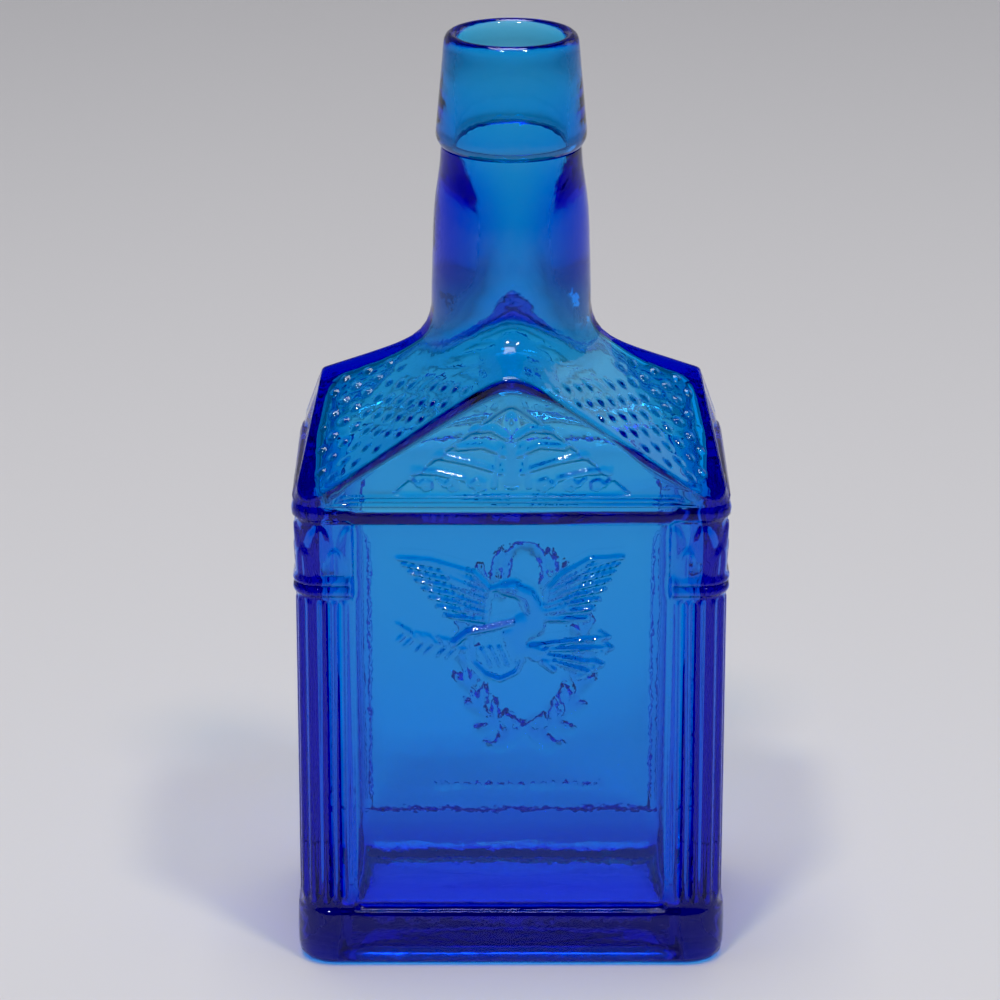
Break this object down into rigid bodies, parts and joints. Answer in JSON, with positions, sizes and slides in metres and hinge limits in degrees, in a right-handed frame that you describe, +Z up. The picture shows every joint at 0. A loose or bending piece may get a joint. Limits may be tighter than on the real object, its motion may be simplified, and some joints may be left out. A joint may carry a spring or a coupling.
{
  "type": "glass bottle",
  "caption": "Temple-shaped azure glass bottle: plinth, reeded corner columns, eagle panel, cross-gabled hobnail shoulder, round neck and tapered open collar.",
  "frame": {"origin": "on the resting plane, under the middle of the base", "axes": "+Z up along the neck, the eagle panel faces -Y, +X to the right of someone who looks at that panel"},
  "size_m": [0.1174, 0.0728, 0.254],
  "materials": {
    "azure_glass": "transparent, fire polished, slightly wavy",
    "pale_azure_glass": "transparent, fire polished, thinner and paler",
    "cobalt_glass": "transparent, fire polished, deep blue through its thickness"
  },
  "bodies": {
    "root": {"base_plinth": "cobalt_glass", "panel_front": "azure_glass", "panel_back": "azure_glass", "panel_left": "azure_glass", "panel_right": "azure_glass", "column_front_left": "azure_glass", "column_front_right": "azure_glass", "column_back_left": "azure_glass", "column_back_right": "azure_glass", "cornice": "azure_glass", "pediment_front": "pale_azure_glass", "pediment_back": "pale_azure_glass", "gable_left": "pale_azure_glass", "gable_right": "pale_azure_glass", "roof_shoulder": "azure_glass", "neck": "azure_glass", "collar": "pale_azure_glass", "eagle_relief": "azure_glass", "wreath_relief": "azure_glass", "palmette_front": "pale_azure_glass", "palmette_back": "pale_azure_glass"}
  },
  "joints": []
}
